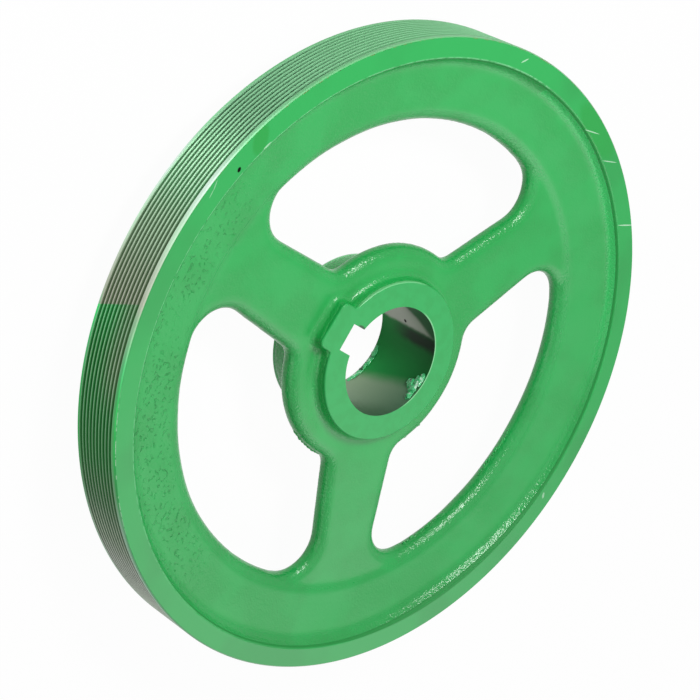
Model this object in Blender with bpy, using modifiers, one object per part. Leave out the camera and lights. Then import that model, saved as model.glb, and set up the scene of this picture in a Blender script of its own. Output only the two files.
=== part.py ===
"""Grooved belt pulley: one iron casting with a turned rim, three arms and a keyed hub.

The pulley lies on the rear end of its hub. The axis is +Z, the origin is on the axis at the rear
end of the hub, and the keyway points to -Y. All sizes are in metres.
"""

import math

import bmesh
import bpy
from mathutils import Matrix

# Rim, whose width follows from its grooves and the plain strips beside them
RIM_RADIUS = 0.146
RIM_EDGE_CHAMFER = 0.0005
FRONT_STRIP_WIDTH = 0.0023
BACK_STRIP_WIDTH = 0.0017
LAND_WIDTH = 0.0093

# Belt grooves, whose depth follows from their angle and flats
GROOVE_COUNT = 10
GROOVE_PITCH = 0.0023
GROOVE_ANGLE = math.radians(40.0)
GROOVE_ROOT_WIDTH = 0.0004
GROOVE_CREST_WIDTH = 0.0006

# Recessed ring between the turned land and the windows
RING_WIDTH = 0.0392
FRONT_RECESS_DEPTH = 0.0045
BACK_RECESS_DEPTH = 0.0057
RECESS_WALL_DRAFT = math.radians(30.0)
RECESS_FILLET = 0.005
RING_SLOPE = math.radians(8.0)
RING_EDGE_RUN = 0.0085

# Arms and hub disc, one flat web with full round edges
WEB_SETBACK = 0.0085
WEB_THICKNESS = 0.0092
ARM_COUNT = 3
ARM_WIDTH_AT_DISC = 0.0382
ARM_WIDTH_AT_RING = 0.0317
ARM_TURN_FROM_KEYWAY = math.radians(-2.6)
ARM_DISC_FILLET = 0.008
ARM_RING_FILLET = 0.015
DISC_LEDGE = 0.0139

# Bore and keyway
BORE_RADIUS = 0.0254
KEYWAY_WIDTH = 0.0127
KEYWAY_DEPTH = 0.00635
KEYWAY_ANGLE = math.radians(-90.0)

# Hub round the bore, and the lug that carries metal past the keyway
BOSS_WALL = 0.0114
BOSS_SETBACK = 0.0026
BARREL_WALL = 0.0119
BARREL_REACH = 0.0116
HUB_FOOT_FILLET = 0.0032
HUB_END_CHAMFER = 0.0006
LUG_WALL = 0.01165
LUG_WIDTH = 0.0215
LUG_DRAFT = math.radians(4.0)
LUG_CORNER = 0.0015
LUG_FOOT_FILLET = 0.002

# Smoothness of round shapes
RIM_SEGMENTS = 72
HUB_SEGMENTS = 48
ARC_STEP = math.radians(15.0)
DISC_ARC_STEP = math.radians(9.0)
RING_EDGE_STEPS = 4
WEB_EDGE_STEPS = 2
LUG_CORNER_STEPS = 2
LUG_FOOT_STEPS = 3
SHARP_EDGE_ANGLE = math.radians(32.0)

# Construction allowances
OVERLAP = 0.0002
CUT_MARGIN = 0.005
WELD_DISTANCE = 0.00001

# Radii and widths that follow from the sizes above
RIM_WIDTH = FRONT_STRIP_WIDTH + GROOVE_COUNT * GROOVE_PITCH + BACK_STRIP_WIDTH
RING_INNER_RADIUS = RIM_RADIUS - RING_WIDTH
BOSS_RADIUS = BORE_RADIUS + BOSS_WALL
BARREL_RADIUS = BORE_RADIUS + BARREL_WALL
DISC_RADIUS = BOSS_RADIUS + DISC_LEDGE
KEYWAY_BOTTOM = BORE_RADIUS + KEYWAY_DEPTH
LUG_REACH = KEYWAY_BOTTOM + LUG_WALL

# Heights above the rear end of the hub
RIM_BACK_Z = BARREL_REACH
RIM_FRONT_Z = RIM_BACK_Z + RIM_WIDTH
BOSS_FRONT_Z = RIM_FRONT_Z - BOSS_SETBACK
WEB_FRONT_Z = RIM_FRONT_Z - WEB_SETBACK
WEB_MIDDLE_Z = WEB_FRONT_Z - WEB_THICKNESS / 2
WEB_BACK_Z = WEB_FRONT_Z - WEB_THICKNESS

GREEN_ENAMEL = (0.057, 0.392, 0.115, 1.0)
ENAMEL_ROUGHNESS = 0.35


def clear_scene():
    """Remove every object that the new file starts with."""
    for old_object in list(bpy.data.objects):
        bpy.data.objects.remove(old_object, do_unlink=True)


def make_collection(name):
    """Return a new collection linked to the scene."""
    collection = bpy.data.collections.new(name)
    bpy.context.scene.collection.children.link(collection)
    return collection


def enamel_material():
    """Return the green enamel that covers the casting."""
    material = bpy.data.materials.new("green_enamel")
    material.use_nodes = True
    shader = material.node_tree.nodes["Principled BSDF"]
    shader.inputs["Base Color"].default_value = GREEN_ENAMEL
    shader.inputs["Roughness"].default_value = ENAMEL_ROUGHNESS
    shader.inputs["Metallic"].default_value = 0.0
    return material


def arc(centre, radius, start, sweep, step_angle=ARC_STEP):
    """Return points along an arc, both ends included."""
    steps = max(1, math.ceil(abs(sweep) / step_angle))
    angles = [start + sweep * step / steps for step in range(steps + 1)]
    return [(centre[0] + radius * math.cos(a), centre[1] + radius * math.sin(a)) for a in angles]


def turned(points):
    """Return a closed profile loop as a mesh of edges, for the Screw modifier."""
    mesh = bpy.data.meshes.new("profile")
    edges = [(i, (i + 1) % len(points)) for i in range(len(points))]
    mesh.from_pydata([(radius, 0.0, height) for radius, height in points], edges, [])
    return mesh


def add_screw(thing, segments):
    """Turn the object's profile once round the Z axis."""
    screw = thing.modifiers.new("turning", "SCREW")
    screw.axis = "Z"
    screw.angle = math.tau
    screw.steps = segments
    screw.render_steps = segments
    screw.use_merge_vertices = True
    screw.merge_threshold = WELD_DISTANCE


def add_boolean(thing, operand, operation):
    """Join the operand to the object, or cut it away."""
    boolean = thing.modifiers.new(operand.name, "BOOLEAN")
    boolean.operation = operation
    boolean.solver = "EXACT"
    boolean.object = operand


def as_operand(name, mesh, collection):
    """Return a wire-drawn object that only serves as a Boolean operand."""
    operand = bpy.data.objects.new(name, mesh)
    operand.display_type = "WIRE"
    operand.hide_render = True
    collection.objects.link(operand)
    return operand


def groove_points():
    """Return the belt grooves' profile, from the front strip to the last groove's rear lip."""
    half_mouth = (GROOVE_PITCH - GROOVE_CREST_WIDTH) / 2
    half_root = GROOVE_ROOT_WIDTH / 2
    root_radius = RIM_RADIUS - (half_mouth - half_root) / math.tan(GROOVE_ANGLE / 2)
    points = []
    for groove in range(GROOVE_COUNT):
        middle = RIM_FRONT_Z - FRONT_STRIP_WIDTH - GROOVE_PITCH * (groove + 0.5)
        points.append((RIM_RADIUS, middle + half_mouth))
        points.append((root_radius, middle + half_root))
        points.append((root_radius, middle - half_root))
        points.append((RIM_RADIUS, middle - half_mouth))
    return points


def recess_points(recess_depth, web_depth):
    """Return one face's inner profile as radius and depth, from the land to the web's middle."""
    land_inner_radius = RIM_RADIUS - LAND_WIDTH
    centre_depth = recess_depth - RECESS_FILLET * math.cos(RING_SLOPE)
    wall_depth = centre_depth + RECESS_FILLET * math.sin(RECESS_WALL_DRAFT)
    wall_foot_radius = land_inner_radius - wall_depth * math.tan(RECESS_WALL_DRAFT)
    centre = (wall_foot_radius - RECESS_FILLET * math.cos(RECESS_WALL_DRAFT), centre_depth)
    turn = math.pi / 2 - RING_SLOPE - RECESS_WALL_DRAFT
    points = [(land_inner_radius, 0.0)]
    points += arc(centre, RECESS_FILLET, RECESS_WALL_DRAFT, turn)
    foot_radius, foot_depth = points[-1]
    edge_radius = RING_INNER_RADIUS + RING_EDGE_RUN
    edge_depth = foot_depth + (foot_radius - edge_radius) * math.tan(RING_SLOPE)
    edge_height = web_depth - edge_depth
    for step in range(RING_EDGE_STEPS + 1):
        angle = math.pi / 2 * step / RING_EDGE_STEPS
        radius = edge_radius - RING_EDGE_RUN * math.sin(angle)
        points.append((radius, edge_depth + edge_height * (1 - math.cos(angle))))
    return points


def rim_object(collection, material):
    """Return the turned rim, the body that everything else is joined to."""
    outer = [(RIM_RADIUS - RIM_EDGE_CHAMFER, RIM_FRONT_Z), (RIM_RADIUS, RIM_FRONT_Z - RIM_EDGE_CHAMFER)]
    outer += groove_points()
    outer += [(RIM_RADIUS, RIM_BACK_Z + RIM_EDGE_CHAMFER), (RIM_RADIUS - RIM_EDGE_CHAMFER, RIM_BACK_Z)]
    back_recess = recess_points(BACK_RECESS_DEPTH, WEB_MIDDLE_Z - RIM_BACK_Z)
    front_recess = recess_points(FRONT_RECESS_DEPTH, RIM_FRONT_Z - WEB_MIDDLE_Z)
    back = [(radius, RIM_BACK_Z + depth) for radius, depth in back_recess]
    front = [(radius, RIM_FRONT_Z - depth) for radius, depth in reversed(front_recess[:-1])]
    rim = bpy.data.objects.new("grooved_pulley", turned(outer + back + front))
    rim.data.materials.append(material)
    collection.objects.link(rim)
    add_screw(rim, RIM_SEGMENTS)
    return rim


def arm_side(inset):
    """Return the left side of an arm that points along +X, from hub disc to ring.

    The outline lies `inset` inside the arm's widest section. Both fillets keep their centres,
    so their radii grow by the inset.
    """
    half_disc = ARM_WIDTH_AT_DISC / 2
    half_ring = ARM_WIDTH_AT_RING / 2
    taper = math.atan2(half_disc - half_ring, RING_INNER_RADIUS - DISC_RADIUS)
    normal = (math.sin(taper), math.cos(taper))
    line_offset = normal[0] * DISC_RADIUS + normal[1] * half_disc

    def fillet_centre(distance, radius):
        across = line_offset + radius
        along = math.sqrt(distance ** 2 - across ** 2)
        return (across * normal[0] + along * normal[1], across * normal[1] - along * normal[0])

    side_angle = math.atan2(-normal[1], -normal[0])
    disc_centre = fillet_centre(DISC_RADIUS + ARM_DISC_FILLET, ARM_DISC_FILLET)
    ring_centre = fillet_centre(RING_INNER_RADIUS + OVERLAP - ARM_RING_FILLET, ARM_RING_FILLET)
    to_axis = math.atan2(-disc_centre[1], -disc_centre[0])
    to_ring = math.atan2(ring_centre[1], ring_centre[0])
    points = arc(disc_centre, ARM_DISC_FILLET + inset, to_axis, side_angle - to_axis)
    points += arc(ring_centre, ARM_RING_FILLET + inset, side_angle, to_ring - side_angle)
    anchor_radius = RING_INNER_RADIUS + RING_EDGE_RUN
    points.append((anchor_radius * math.cos(to_ring), anchor_radius * math.sin(to_ring)))
    return points


def web_outline(inset):
    """Return the closed outline of the hub disc and its arms, anticlockwise."""
    side = arm_side(inset)
    arm = [(x, -y) for x, y in side] + list(reversed(side))
    disc_start = math.atan2(side[0][1], side[0][0])
    gap = math.tau / ARM_COUNT - 2 * disc_start
    disc = arc((0.0, 0.0), DISC_RADIUS - inset, disc_start, gap, DISC_ARC_STEP)[1:-1]
    outline = []
    for number in range(ARM_COUNT):
        angle = KEYWAY_ANGLE + ARM_TURN_FROM_KEYWAY + math.tau * number / ARM_COUNT
        cosine, sine = math.cos(angle), math.sin(angle)
        outline += [(x * cosine - y * sine, x * sine + y * cosine) for x, y in arm + disc]
    return outline


def flat_curve_mesh(name, outline, edge_radius):
    """Return a filled flat outline, thickened by a full round edge, as a closed mesh."""
    curve = bpy.data.curves.new(name, "CURVE")
    curve.dimensions = "2D"
    curve.fill_mode = "BOTH"
    curve.bevel_depth = edge_radius
    curve.bevel_resolution = WEB_EDGE_STEPS
    spline = curve.splines.new("POLY")
    spline.points.add(len(outline) - 1)
    for point, (x, y) in zip(spline.points, outline):
        point.co = (x, y, 0.0, 1.0)
    spline.use_cyclic_u = True
    guide = bpy.data.objects.new(name, curve)
    bpy.context.scene.collection.objects.link(guide)
    depsgraph = bpy.context.evaluated_depsgraph_get()
    mesh = bpy.data.meshes.new_from_object(guide.evaluated_get(depsgraph))
    bpy.data.objects.remove(guide, do_unlink=True)
    bpy.data.curves.remove(curve)
    weld(mesh)
    return mesh


def weld(mesh):
    """Merge the vertices that lie on each other and turn all faces outward."""
    body = bmesh.new()
    body.from_mesh(mesh)
    bmesh.ops.remove_doubles(body, verts=body.verts, dist=WELD_DISTANCE)
    bmesh.ops.recalc_face_normals(body, faces=body.faces)
    body.to_mesh(mesh)
    body.free()


def web_operand(collection):
    """Return the hub disc and arms."""
    edge_radius = WEB_THICKNESS / 2
    mesh = flat_curve_mesh("web", web_outline(edge_radius), edge_radius)
    web = as_operand("web", mesh, collection)
    web.location.z = WEB_MIDDLE_Z
    return web


def hub_operand(collection):
    """Return the hub barrel with its front boss and the fillets where it meets the web.

    Its core is open only as far as the bore cutter then clears.
    """
    core_radius = BORE_RADIUS / 2
    fillet = HUB_FOOT_FILLET
    front_foot = (BOSS_RADIUS + fillet, WEB_FRONT_Z - OVERLAP + fillet)
    back_foot = (BARREL_RADIUS + fillet, WEB_BACK_Z + OVERLAP - fillet)
    points = [(BOSS_RADIUS - HUB_END_CHAMFER, BOSS_FRONT_Z), (BOSS_RADIUS, BOSS_FRONT_Z - HUB_END_CHAMFER)]
    points += arc(front_foot, fillet, math.pi, math.pi / 2)
    points += arc(back_foot, fillet, math.pi / 2, math.pi / 2)
    points += [(BARREL_RADIUS, HUB_END_CHAMFER), (BARREL_RADIUS - HUB_END_CHAMFER, 0.0)]
    points += [(core_radius, 0.0), (core_radius, BOSS_FRONT_Z)]
    hub = as_operand("hub", turned(points), collection)
    add_screw(hub, HUB_SEGMENTS)
    return hub


def lug_spread(height):
    """Return how far the lug's sides stand out at a height, from their draft and foot fillet."""
    spread = (BOSS_FRONT_Z - height) * math.tan(LUG_DRAFT)
    fillet_top = WEB_FRONT_Z - OVERLAP + LUG_FOOT_FILLET
    if height < fillet_top:
        across = min(fillet_top - height, LUG_FOOT_FILLET)
        spread += LUG_FOOT_FILLET - math.sqrt(LUG_FOOT_FILLET ** 2 - across ** 2)
    return spread


def lug_operand(collection):
    """Return the cast lug that thickens the boss outside the keyway."""
    foot = WEB_FRONT_Z - OVERLAP
    size = Matrix.Diagonal((LUG_WALL, LUG_WIDTH, BOSS_FRONT_Z - foot, 1.0))
    place = Matrix.Translation((KEYWAY_BOTTOM + LUG_WALL / 2, 0.0, (BOSS_FRONT_Z + foot) / 2))
    body = bmesh.new()
    bmesh.ops.create_cube(body, size=1.0, matrix=place @ size)
    corners = [
        edge
        for edge in body.edges
        if all(vertex.co.x > KEYWAY_BOTTOM + OVERLAP for vertex in edge.verts)
        and abs(edge.verts[0].co.z - edge.verts[1].co.z) > OVERLAP
    ]
    bmesh.ops.bevel(
        body, geom=corners, offset=LUG_CORNER, segments=LUG_CORNER_STEPS, profile=0.5, affect="EDGES"
    )
    for step in range(1, LUG_FOOT_STEPS + 1):
        level = foot + LUG_FOOT_FILLET * (1 - math.cos(math.pi / 2 * step / LUG_FOOT_STEPS))
        everything = body.verts[:] + body.edges[:] + body.faces[:]
        bmesh.ops.bisect_plane(body, geom=everything, plane_co=(0.0, 0.0, level), plane_no=(0.0, 0.0, 1.0))
    for vertex in body.verts:
        spread = lug_spread(vertex.co.z)
        vertex.co.y += math.copysign(spread, vertex.co.y)
        if vertex.co.x > KEYWAY_BOTTOM + OVERLAP:
            vertex.co.x += spread
    turn = Matrix.Rotation(KEYWAY_ANGLE + ARM_TURN_FROM_KEYWAY, 4, "Z")
    bmesh.ops.transform(body, matrix=turn, verts=body.verts)
    mesh = bpy.data.meshes.new("lug")
    body.to_mesh(mesh)
    body.free()
    return as_operand("lug", mesh, collection)


def bore_cutter(collection):
    """Return the cylinder that cuts the bore through hub and web."""
    length = BOSS_FRONT_Z + 2 * CUT_MARGIN
    body = bmesh.new()
    bmesh.ops.create_cone(
        body,
        cap_ends=True,
        segments=HUB_SEGMENTS,
        radius1=BORE_RADIUS,
        radius2=BORE_RADIUS,
        depth=length,
        matrix=Matrix.Translation((0.0, 0.0, BOSS_FRONT_Z / 2)),
    )
    mesh = bpy.data.meshes.new("bore")
    body.to_mesh(mesh)
    body.free()
    return as_operand("bore", mesh, collection)


def keyway_cutter(collection):
    """Return the block that cuts the keyway, from the axis to its flat bottom."""
    length = BOSS_FRONT_Z + 2 * CUT_MARGIN
    size = Matrix.Diagonal((KEYWAY_BOTTOM, KEYWAY_WIDTH, length, 1.0))
    place = Matrix.Translation((KEYWAY_BOTTOM / 2, 0.0, BOSS_FRONT_Z / 2))
    body = bmesh.new()
    bmesh.ops.create_cube(body, size=1.0, matrix=Matrix.Rotation(KEYWAY_ANGLE, 4, "Z") @ place @ size)
    mesh = bpy.data.meshes.new("keyway")
    body.to_mesh(mesh)
    body.free()
    return as_operand("keyway", mesh, collection)


def finish(thing, operands):
    """Keep the final mesh, shade its round faces smooth and remove the operands."""
    depsgraph = bpy.context.evaluated_depsgraph_get()
    mesh = bpy.data.meshes.new_from_object(thing.evaluated_get(depsgraph))
    mesh.shade_smooth()
    mesh.set_sharp_from_angle(angle=SHARP_EDGE_ANGLE)
    thing.modifiers.clear()
    thing.data = mesh
    for operand in list(operands.objects):
        bpy.data.objects.remove(operand, do_unlink=True)
    bpy.data.collections.remove(operands)


def main():
    """Build the pulley."""
    clear_scene()
    parts = make_collection("grooved_pulley")
    operands = make_collection("operands")
    pulley = rim_object(parts, enamel_material())
    add_boolean(pulley, web_operand(operands), "UNION")
    add_boolean(pulley, hub_operand(operands), "UNION")
    add_boolean(pulley, lug_operand(operands), "UNION")
    add_boolean(pulley, bore_cutter(operands), "DIFFERENCE")
    add_boolean(pulley, keyway_cutter(operands), "DIFFERENCE")
    finish(pulley, operands)


main()
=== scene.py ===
"""Grooved belt pulley: a green enamelled iron casting, dressed for a studio photograph.

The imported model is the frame. Three pieces stand for its one node: the turned rim, the cast web
with its arms and hub walls, and the machined hub core. Paint lumps and mould flash lie on them.
"""

import logging
import math
import random
from dataclasses import dataclass, field
from enum import Enum
from functools import partial
from typing import Callable, Optional, Sequence

import bmesh
import bpy
from bpy.types import Material, Mesh, NodeSocket, NodeTree, Object
from mathutils import Euler, Matrix, Vector, noise


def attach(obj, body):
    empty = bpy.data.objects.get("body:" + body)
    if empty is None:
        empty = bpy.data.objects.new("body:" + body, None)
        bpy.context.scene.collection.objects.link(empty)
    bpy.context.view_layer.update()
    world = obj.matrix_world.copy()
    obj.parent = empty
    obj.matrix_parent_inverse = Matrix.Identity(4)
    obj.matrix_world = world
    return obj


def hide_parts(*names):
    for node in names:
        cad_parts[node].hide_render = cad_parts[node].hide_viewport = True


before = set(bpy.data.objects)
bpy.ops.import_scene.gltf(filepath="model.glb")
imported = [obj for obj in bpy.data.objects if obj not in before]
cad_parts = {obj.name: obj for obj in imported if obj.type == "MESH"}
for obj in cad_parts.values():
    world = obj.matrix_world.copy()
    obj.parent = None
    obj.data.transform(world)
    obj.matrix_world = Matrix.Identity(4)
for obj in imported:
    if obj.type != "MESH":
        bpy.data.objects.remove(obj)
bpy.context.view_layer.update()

CAD_NODE = "grooved_pulley"
MM = 0.001
WELD_DISTANCE = 0.001 * MM
PLATE_WELD = 0.01 * MM
SHARP_ANGLE = math.radians(35.0)
LEVEL_NORMAL = 0.999
MARK_FADE = 0.35
HUB_FACETS = 192
RING_FACETS = 288
SMOOTH = {"interpolation_type": "SMOOTHSTEP"}
ALL = {"operation": "MULTIPLY"}
ANY = {"operation": "MAXIMUM"}
SCALED_SUM = {"operation": "MULTIPLY_ADD"}
ABSOLUTE = {"operation": "ABSOLUTE"}
LOG = logging.getLogger("grooved_pulley")

BMesh = bmesh.types.BMesh
Point = tuple[float, float]
Colour = tuple[float, float, float, float]


class Side(Enum):
    """The two faces of the casting, with the way each one points along the axis."""

    FRONT = 1
    BACK = -1


def to_linear(code: str) -> Colour:
    """Turn an sRGB colour, six hex digits after a hash, into linear RGBA.

    Args:
        code: Six hex digits after a hash.

    Returns:
        The linear colour with an alpha of one.
    """
    channels = [int(code[start:start + 2], 16) / 255 for start in (1, 3, 5)]
    linear = [c / 12.92 if c <= 0.04045 else ((c + 0.055) / 1.055) ** 2.4 for c in channels]
    return (linear[0], linear[1], linear[2], 1.0)


def add_node(
    tree: NodeTree, kind: str, settings: dict[str, object], inputs: dict[object, object],
    output: object = 0,
) -> NodeSocket:
    """Add one node with its settings and its inputs.

    Args:
        tree: The node tree that takes the node.
        kind: The node type, without the common ShaderNode prefix.
        settings: Node properties by name.
        inputs: Sockets to link from, or plain values, by input name or number.
        output: Name or number of the output that is wanted.

    Returns:
        That output of the new node.
    """
    node = tree.nodes.new("ShaderNode" + kind)
    for name, value in settings.items():
        setattr(node, name, value)
    for key, value in inputs.items():
        if isinstance(value, NodeSocket):
            tree.links.new(value, node.inputs[key])
        else:
            node.inputs[key].default_value = value
    return node.outputs[output]


def joined(tree: NodeTree, how: dict[str, str], *parts: object) -> NodeSocket:
    """Join masks and plain shares: ALL gives their product, and ANY the largest of them.

    Args:
        tree: The node tree.
        how: ALL or ANY.
        parts: Sockets, and plain numbers for a share.

    Returns:
        The joined mask.
    """
    total = parts[0]
    for part in parts[1:]:
        total = add_node(tree, "Math", how, {0: total, 1: part})
    return total


def seen_by(tree: NodeTree, *rays: str) -> NodeSocket:
    """Mask the rays of the given kinds, such as those that leave the camera.

    Args:
        tree: The node tree.
        rays: The kinds of ray.

    Returns:
        A mask that is one for those rays.
    """
    path = add_node(tree, "LightPath", {}, {}).node.outputs
    return joined(tree, ANY, *(path[f"Is {ray} Ray"] for ray in rays))


def arc(centre: Point, radii: Point, start: float, sweep: float, steps: int) -> list[Point]:
    """List the points of an arc, both ends included.

    Args:
        centre: The arc's centre.
        radii: Its half axes across and along.
        start: The first point's angle in radians.
        sweep: How far the arc turns, in radians.
        steps: The number of chords.

    Returns:
        The points in order.
    """
    angles = [start + sweep * step / steps for step in range(steps + 1)]
    return [(centre[0] + radii[0] * math.cos(a), centre[1] + radii[1] * math.sin(a)) for a in angles]


def turned(points: Sequence[Point], angle: float) -> list[Point]:
    """Turn flat points about the axis by an angle in radians.

    Args:
        points: The flat points.
        angle: The angle.

    Returns:
        The turned points in the same order.
    """
    cosine, sine = math.cos(angle), math.sin(angle)
    return [(x * cosine - y * sine, x * sine + y * cosine) for x, y in points]


def spun(profile: Sequence[Point], steps: int) -> BMesh:
    """Spin a closed profile once round the Z axis.

    Args:
        profile: Radius and height of each corner, in order round the section.
        steps: The number of facets round the axis.

    Returns:
        The closed ring.
    """
    body = bmesh.new()
    corners = [body.verts.new((radius, 0.0, height)) for radius, height in profile]
    sides = [body.edges.new(pair) for pair in zip(corners, corners[1:] + corners[:1])]
    bmesh.ops.spin(
        body, geom=corners + sides, cent=(0.0, 0.0, 0.0), axis=(0.0, 0.0, 1.0), dvec=(0.0, 0.0, 0.0),
        angle=math.tau, steps=steps, use_merge=True, use_duplicate=False,
    )
    bmesh.ops.remove_doubles(body, verts=body.verts, dist=WELD_DISTANCE)
    bmesh.ops.recalc_face_normals(body, faces=body.faces)
    return body


def shaded(mesh: Mesh, sharp_angle: float) -> Mesh:
    """Shade a mesh smooth, apart from edges that turn more than an angle.

    Args:
        mesh: The mesh.
        sharp_angle: Edges that turn more than this stay sharp.

    Returns:
        The same mesh.
    """
    mesh.shade_smooth()
    mesh.set_sharp_from_angle(angle=sharp_angle)
    return mesh


def as_object(name: str, body: BMesh, sharp_angle: float = SHARP_ANGLE) -> Object:
    """Put a finished bmesh into the scene as an object, and free the bmesh.

    Args:
        name: The object's name.
        body: The bmesh, which is freed.
        sharp_angle: Edges that turn more than this stay sharp.

    Returns:
        The linked object.
    """
    mesh = bpy.data.meshes.new(name)
    body.to_mesh(mesh)
    body.free()
    thing = bpy.data.objects.new(name, shaded(mesh, sharp_angle))
    bpy.context.scene.collection.objects.link(thing)
    return thing


def as_body(thing: Object) -> BMesh:
    """Take an object's mesh back as a bmesh, and remove the object.

    Args:
        thing: The object, which is removed.

    Returns:
        Its mesh as a bmesh.
    """
    body = bmesh.new()
    body.from_mesh(thing.data)
    bpy.data.objects.remove(thing, do_unlink=True)
    return body


def final_mesh(thing: Object) -> Mesh:
    """Copy an object's mesh as its modifiers or its curve settings make it.

    Args:
        thing: The object with live settings.

    Returns:
        The new mesh.
    """
    depsgraph = bpy.context.evaluated_depsgraph_get()
    return bpy.data.meshes.new_from_object(thing.evaluated_get(depsgraph))


def baked(thing: Object, sharp_angle: float = SHARP_ANGLE) -> Object:
    """Apply an object's modifiers to its mesh, and return the object.

    Args:
        thing: The object with live modifiers.
        sharp_angle: Edges that turn more than this stay sharp.

    Returns:
        The same object.
    """
    mesh = final_mesh(thing)
    thing.modifiers.clear()
    thing.data = shaded(mesh, sharp_angle)
    return thing


def keep_planes_flat(thing: Object) -> Object:
    """Shade level turned faces flat, so that their eased edges don't tint them.

    Args:
        thing: The finished piece.

    Returns:
        The same piece.
    """
    for face in thing.data.polygons:
        if abs(face.normal.z) > LEVEL_NORMAL:
            face.use_smooth = False
    return thing


def filled_plate(outline: Sequence[Point], thickness: float, edge: float, steps: int, offset: float) -> BMesh:
    """Fill a flat outline into a plate with round edges, level with z = 0 at mid-thickness.

    Args:
        outline: The closed outline, anticlockwise.
        thickness: The plate's thickness.
        edge: Radius of its round edges.
        steps: Resolution of the round edges.
        offset: How far the outline moves outward before the edge is added.

    Returns:
        The closed plate.
    """
    curve = bpy.data.curves.new("outline", "CURVE")
    curve.dimensions = "2D"
    curve.fill_mode = "BOTH"
    curve.extrude = thickness / 2 - edge
    curve.bevel_depth = edge
    curve.bevel_resolution = steps
    curve.offset = offset
    spline = curve.splines.new("POLY")
    spline.points.add(len(outline) - 1)
    for point, (x, y) in zip(spline.points, outline):
        point.co = (x, y, 0.0, 1.0)
    spline.use_cyclic_u = True
    guide = bpy.data.objects.new("outline", curve)
    bpy.context.scene.collection.objects.link(guide)
    body = bmesh.new()
    body.from_mesh(final_mesh(guide))
    bpy.data.objects.remove(guide, do_unlink=True)
    bmesh.ops.remove_doubles(body, verts=body.verts, dist=PLATE_WELD)
    bmesh.ops.recalc_face_normals(body, faces=body.faces)
    return body


def drum(radius: float, low: float, high: float) -> BMesh:
    """Make a closed cylinder on the axis between two heights.

    Args:
        radius: The cylinder's radius.
        low: Height of its lower end.
        high: Height of its upper end.

    Returns:
        The closed cylinder.
    """
    body = bmesh.new()
    bmesh.ops.create_cone(
        body, cap_ends=True, segments=HUB_FACETS, radius1=radius, radius2=radius, depth=high - low,
        matrix=Matrix.Translation((0.0, 0.0, (low + high) / 2)),
    )
    return body


def cut_with(thing: Object, tool: Object, operation: str = "DIFFERENCE") -> None:
    """Cut a tool shape from an object, or join it by UNION, and remove the tool.

    Args:
        thing: The object that changes.
        tool: The shape that is used up.
        operation: The Boolean operation's name.
    """
    boolean = thing.modifiers.new(tool.name, "BOOLEAN")
    boolean.operation = operation
    boolean.solver = "EXACT"
    boolean.object = tool
    baked(thing)
    bpy.data.objects.remove(tool, do_unlink=True)


def polar(place: Vector) -> Point:
    """Return a point's distance from the axis and its azimuth in degrees."""
    return math.hypot(place.x, place.y), math.degrees(math.atan2(place.y, place.x))


def angle_between(first: float, second: float) -> float:
    """Return the smaller angle between two azimuths, in degrees."""
    return abs((first - second + 180.0) % 360.0 - 180.0)


def smooth_step(value: float, low: float, high: float) -> float:
    """Rise smoothly from zero at low to one at high."""
    share = min(max((value - low) / (high - low), 0.0), 1.0)
    return share * share * (3.0 - 2.0 * share)


@dataclass(frozen=True)
class PulleySizes:
    """Sizes that more than one piece shares, in metres from the rear end of the hub."""

    rim_radius: float = 146.0 * MM
    rim_front: float = 38.6 * MM
    rim_back: float = 11.6 * MM
    land_inner: float = 136.7 * MM
    wall_draft: float = math.radians(30.0)
    ring_inner: float = 106.8 * MM
    web_front: float = 30.1 * MM
    web_back: float = 20.9 * MM
    disc_radius: float = 50.7 * MM
    boss_front: float = 36.0 * MM
    boss_radius: float = 36.8 * MM
    barrel_radius: float = 37.3 * MM
    bore_radius: float = 25.4 * MM
    keyway_width: float = 12.7 * MM
    keyway_bottom: float = 31.75 * MM
    keyway_azimuth: float = math.radians(-90.0)
    lug_azimuth: float = math.radians(-92.6)
    lug_reach: float = 43.4 * MM
    lug_width: float = 21.5 * MM
    seam_depth: float = 1.3 * MM
    edge_drift: float = 2.1 * MM
    drift_azimuth: float = 55.0
    drift_spread: float = 20.0
    drift_rise: Point = (-18.0 * MM, -3.0 * MM)
    drift_fall: Point = (0.8 * MM, 5.0 * MM)

    @property
    def web_middle(self) -> float:
        """Height of the plane midway through the web."""
        return (self.web_front + self.web_back) / 2

    def recess_drift(self, azimuth: float) -> float:
        """Return how far inward the cast recess wanders at an azimuth in degrees."""
        share = angle_between(azimuth, self.drift_azimuth) / self.drift_spread
        return self.edge_drift * math.exp(-share * share)

    def drift_recess(self, body: BMesh) -> None:
        """Move the recess wall and its edge where the casting wandered from the turned centre.

        Args:
            body: A ring that spans the recess wall.
        """
        for vertex in body.verts:
            if vertex.co.z < self.web_front:
                continue
            radius, azimuth = polar(vertex.co)
            risen, fallen = (
                smooth_step(radius, self.land_inner + start, self.land_inner + stop)
                for start, stop in (self.drift_rise, self.drift_fall)
            )
            scale = 1.0 - self.recess_drift(azimuth) * risen * (1.0 - fallen) / radius
            vertex.co.x *= scale
            vertex.co.y *= scale


@dataclass(frozen=True)
class Mark:
    """One scratch, chip or speck in millimetres, with its turn in degrees and its strength."""

    x: float
    y: float
    z: float
    half_length: float
    half_width: float
    turn: float = 0.0
    strength: float = 1.0


@dataclass(frozen=True)
class Stop:
    """A colour that a coat reaches at one azimuth in degrees."""

    azimuth: float
    colour: str


@dataclass(frozen=True)
class Band:
    """A stretch of a measure: its edges, None where it is open, and half a soft edge's width."""

    low: Optional[float]
    high: Optional[float]
    soft: float


@dataclass(frozen=True)
class Patch:
    """A part of the surface between two radii and two azimuths, and how strongly it is marked."""

    radii: Band
    azimuths: Band
    strength: float = 1.0


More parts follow.
